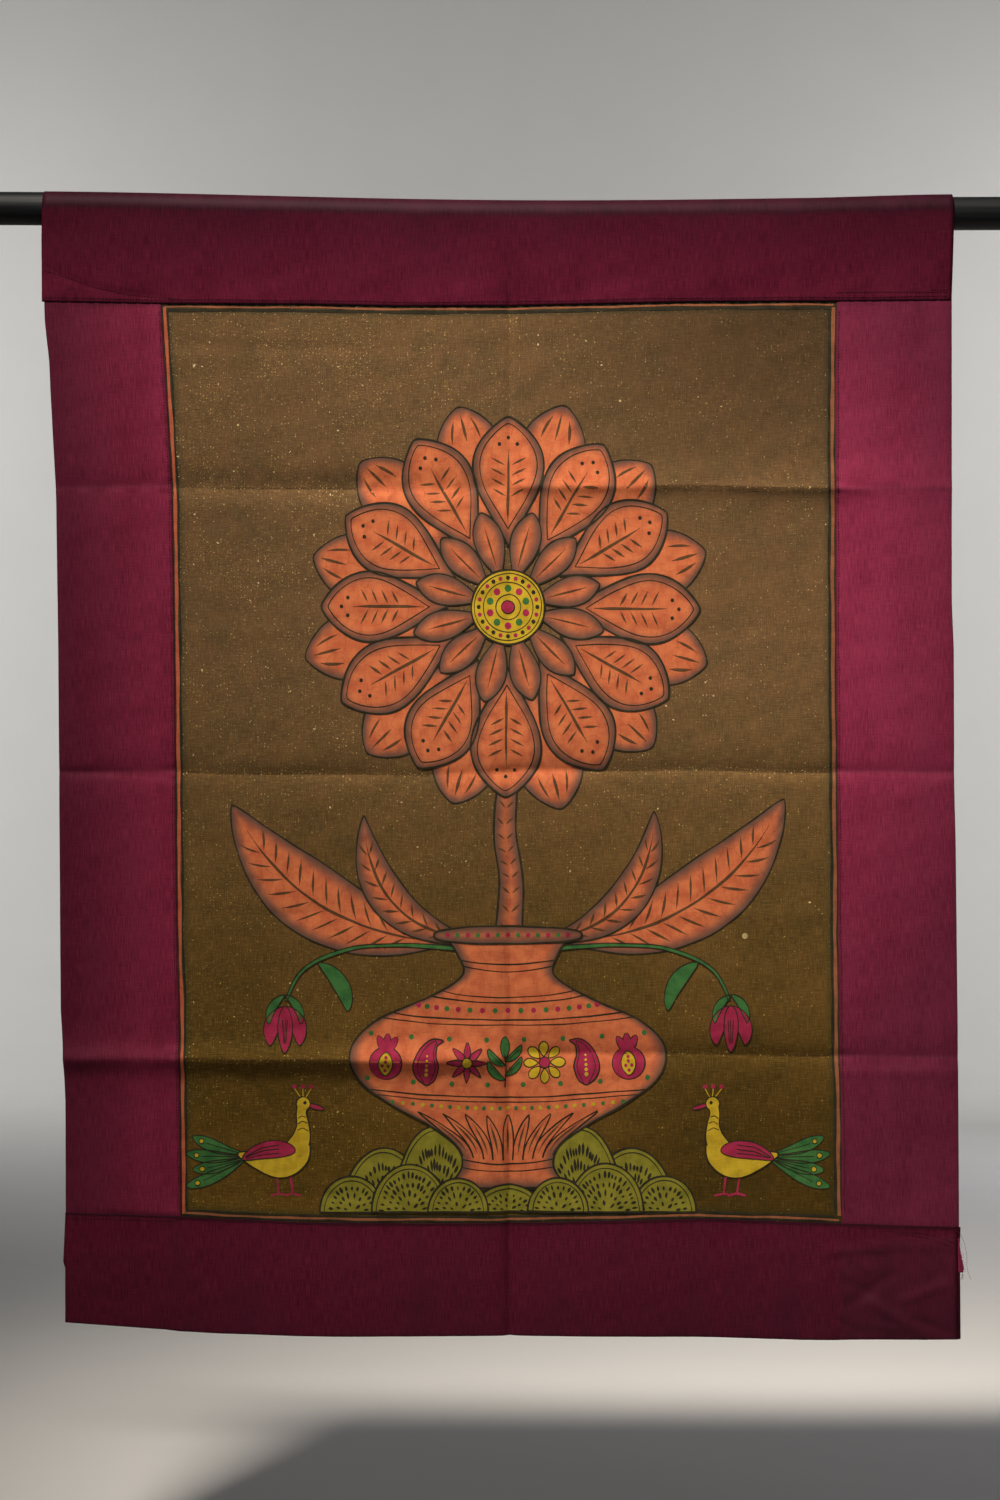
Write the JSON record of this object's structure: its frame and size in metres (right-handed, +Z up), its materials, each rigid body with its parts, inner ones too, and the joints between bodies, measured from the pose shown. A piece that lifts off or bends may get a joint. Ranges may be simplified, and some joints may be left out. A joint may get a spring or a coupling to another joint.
{
  "type": "cloth painting and hanging rod",
  "caption": "Painted cotton hanging with a wide doubled border, carried by a round rod in its top sleeve.",
  "frame": {"origin": "midway between the centres of the rod's two ends, where the rod's axis would lie if it did not sag", "axes": "+X along the rod, to the viewer's right; +Y away from the viewer, through the cloth to its back; +Z up"},
  "size_m": [1.16, 0.0354, 1.1486],
  "materials": {
    "painted_cotton": "matt pigment on plain-woven cotton",
    "crimson_sateen": "soft sheen on cotton sateen",
    "black_rod": "satin black"
  },
  "bodies": {
    "root": {"painted_panel": "painted_cotton", "border_top": "crimson_sateen", "border_bottom": "crimson_sateen", "border_left": "crimson_sateen", "border_right": "crimson_sateen", "inner_layer_tab": "crimson_sateen", "rod": "black_rod"}
  },
  "joints": []
}
